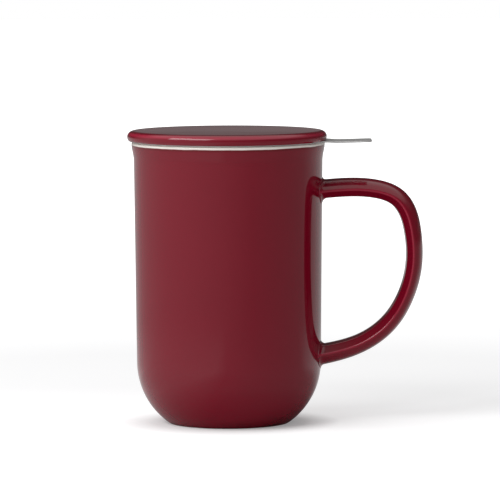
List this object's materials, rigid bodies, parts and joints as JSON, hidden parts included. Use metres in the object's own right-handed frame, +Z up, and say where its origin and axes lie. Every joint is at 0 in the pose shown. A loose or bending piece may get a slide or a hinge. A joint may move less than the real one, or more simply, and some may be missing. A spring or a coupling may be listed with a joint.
{
  "type": "lidded tea mug with infuser",
  "caption": "Tall porcelain tea mug with a strap handle, a lift-out perforated steel infuser basket hung from its lip by a flat rim plate with a finger tab, and a flat lift-off lid.",
  "frame": {"origin": "on the mug's axis, in the plane of the foot ring that the mug stands on", "axes": "+Z up along the mug's axis; +X from the axis towards the handle and the infuser's tab; +Y completes the right-handed set, across the handle"},
  "size_m": [0.132, 0.0892, 0.131],
  "materials": {
    "mug_glaze": "gloss red glaze outside, white glaze inside and on the lip, bare porcelain foot ring",
    "handle_glaze": "gloss red glaze",
    "lid_glaze": "gloss red glaze",
    "rim_plate_steel": "satin stainless steel",
    "basket_band_steel": "satin stainless steel",
    "basket_mesh_steel": "perforated stainless steel sheet"
  },
  "bodies": {
    "mug": {"mug_body": "mug_glaze", "mug_handle": "handle_glaze"},
    "infuser": {"infuser_rim_plate": "rim_plate_steel", "infuser_neck": "basket_band_steel", "infuser_wall": "basket_mesh_steel", "infuser_foot_band": "basket_band_steel", "infuser_floor": "basket_mesh_steel"},
    "lid": {"lid": "lid_glaze"}
  },
  "joints": [
    {"name": "infuser_lift", "type": "slide", "parent": "mug", "child": "infuser", "axis": [0, 0, 1], "range_m": [0, 0.13]},
    {"name": "lid_lift", "type": "slide", "parent": "infuser", "child": "lid", "axis": [0, 0, 1], "range_m": [0, 0.06]}
  ]
}
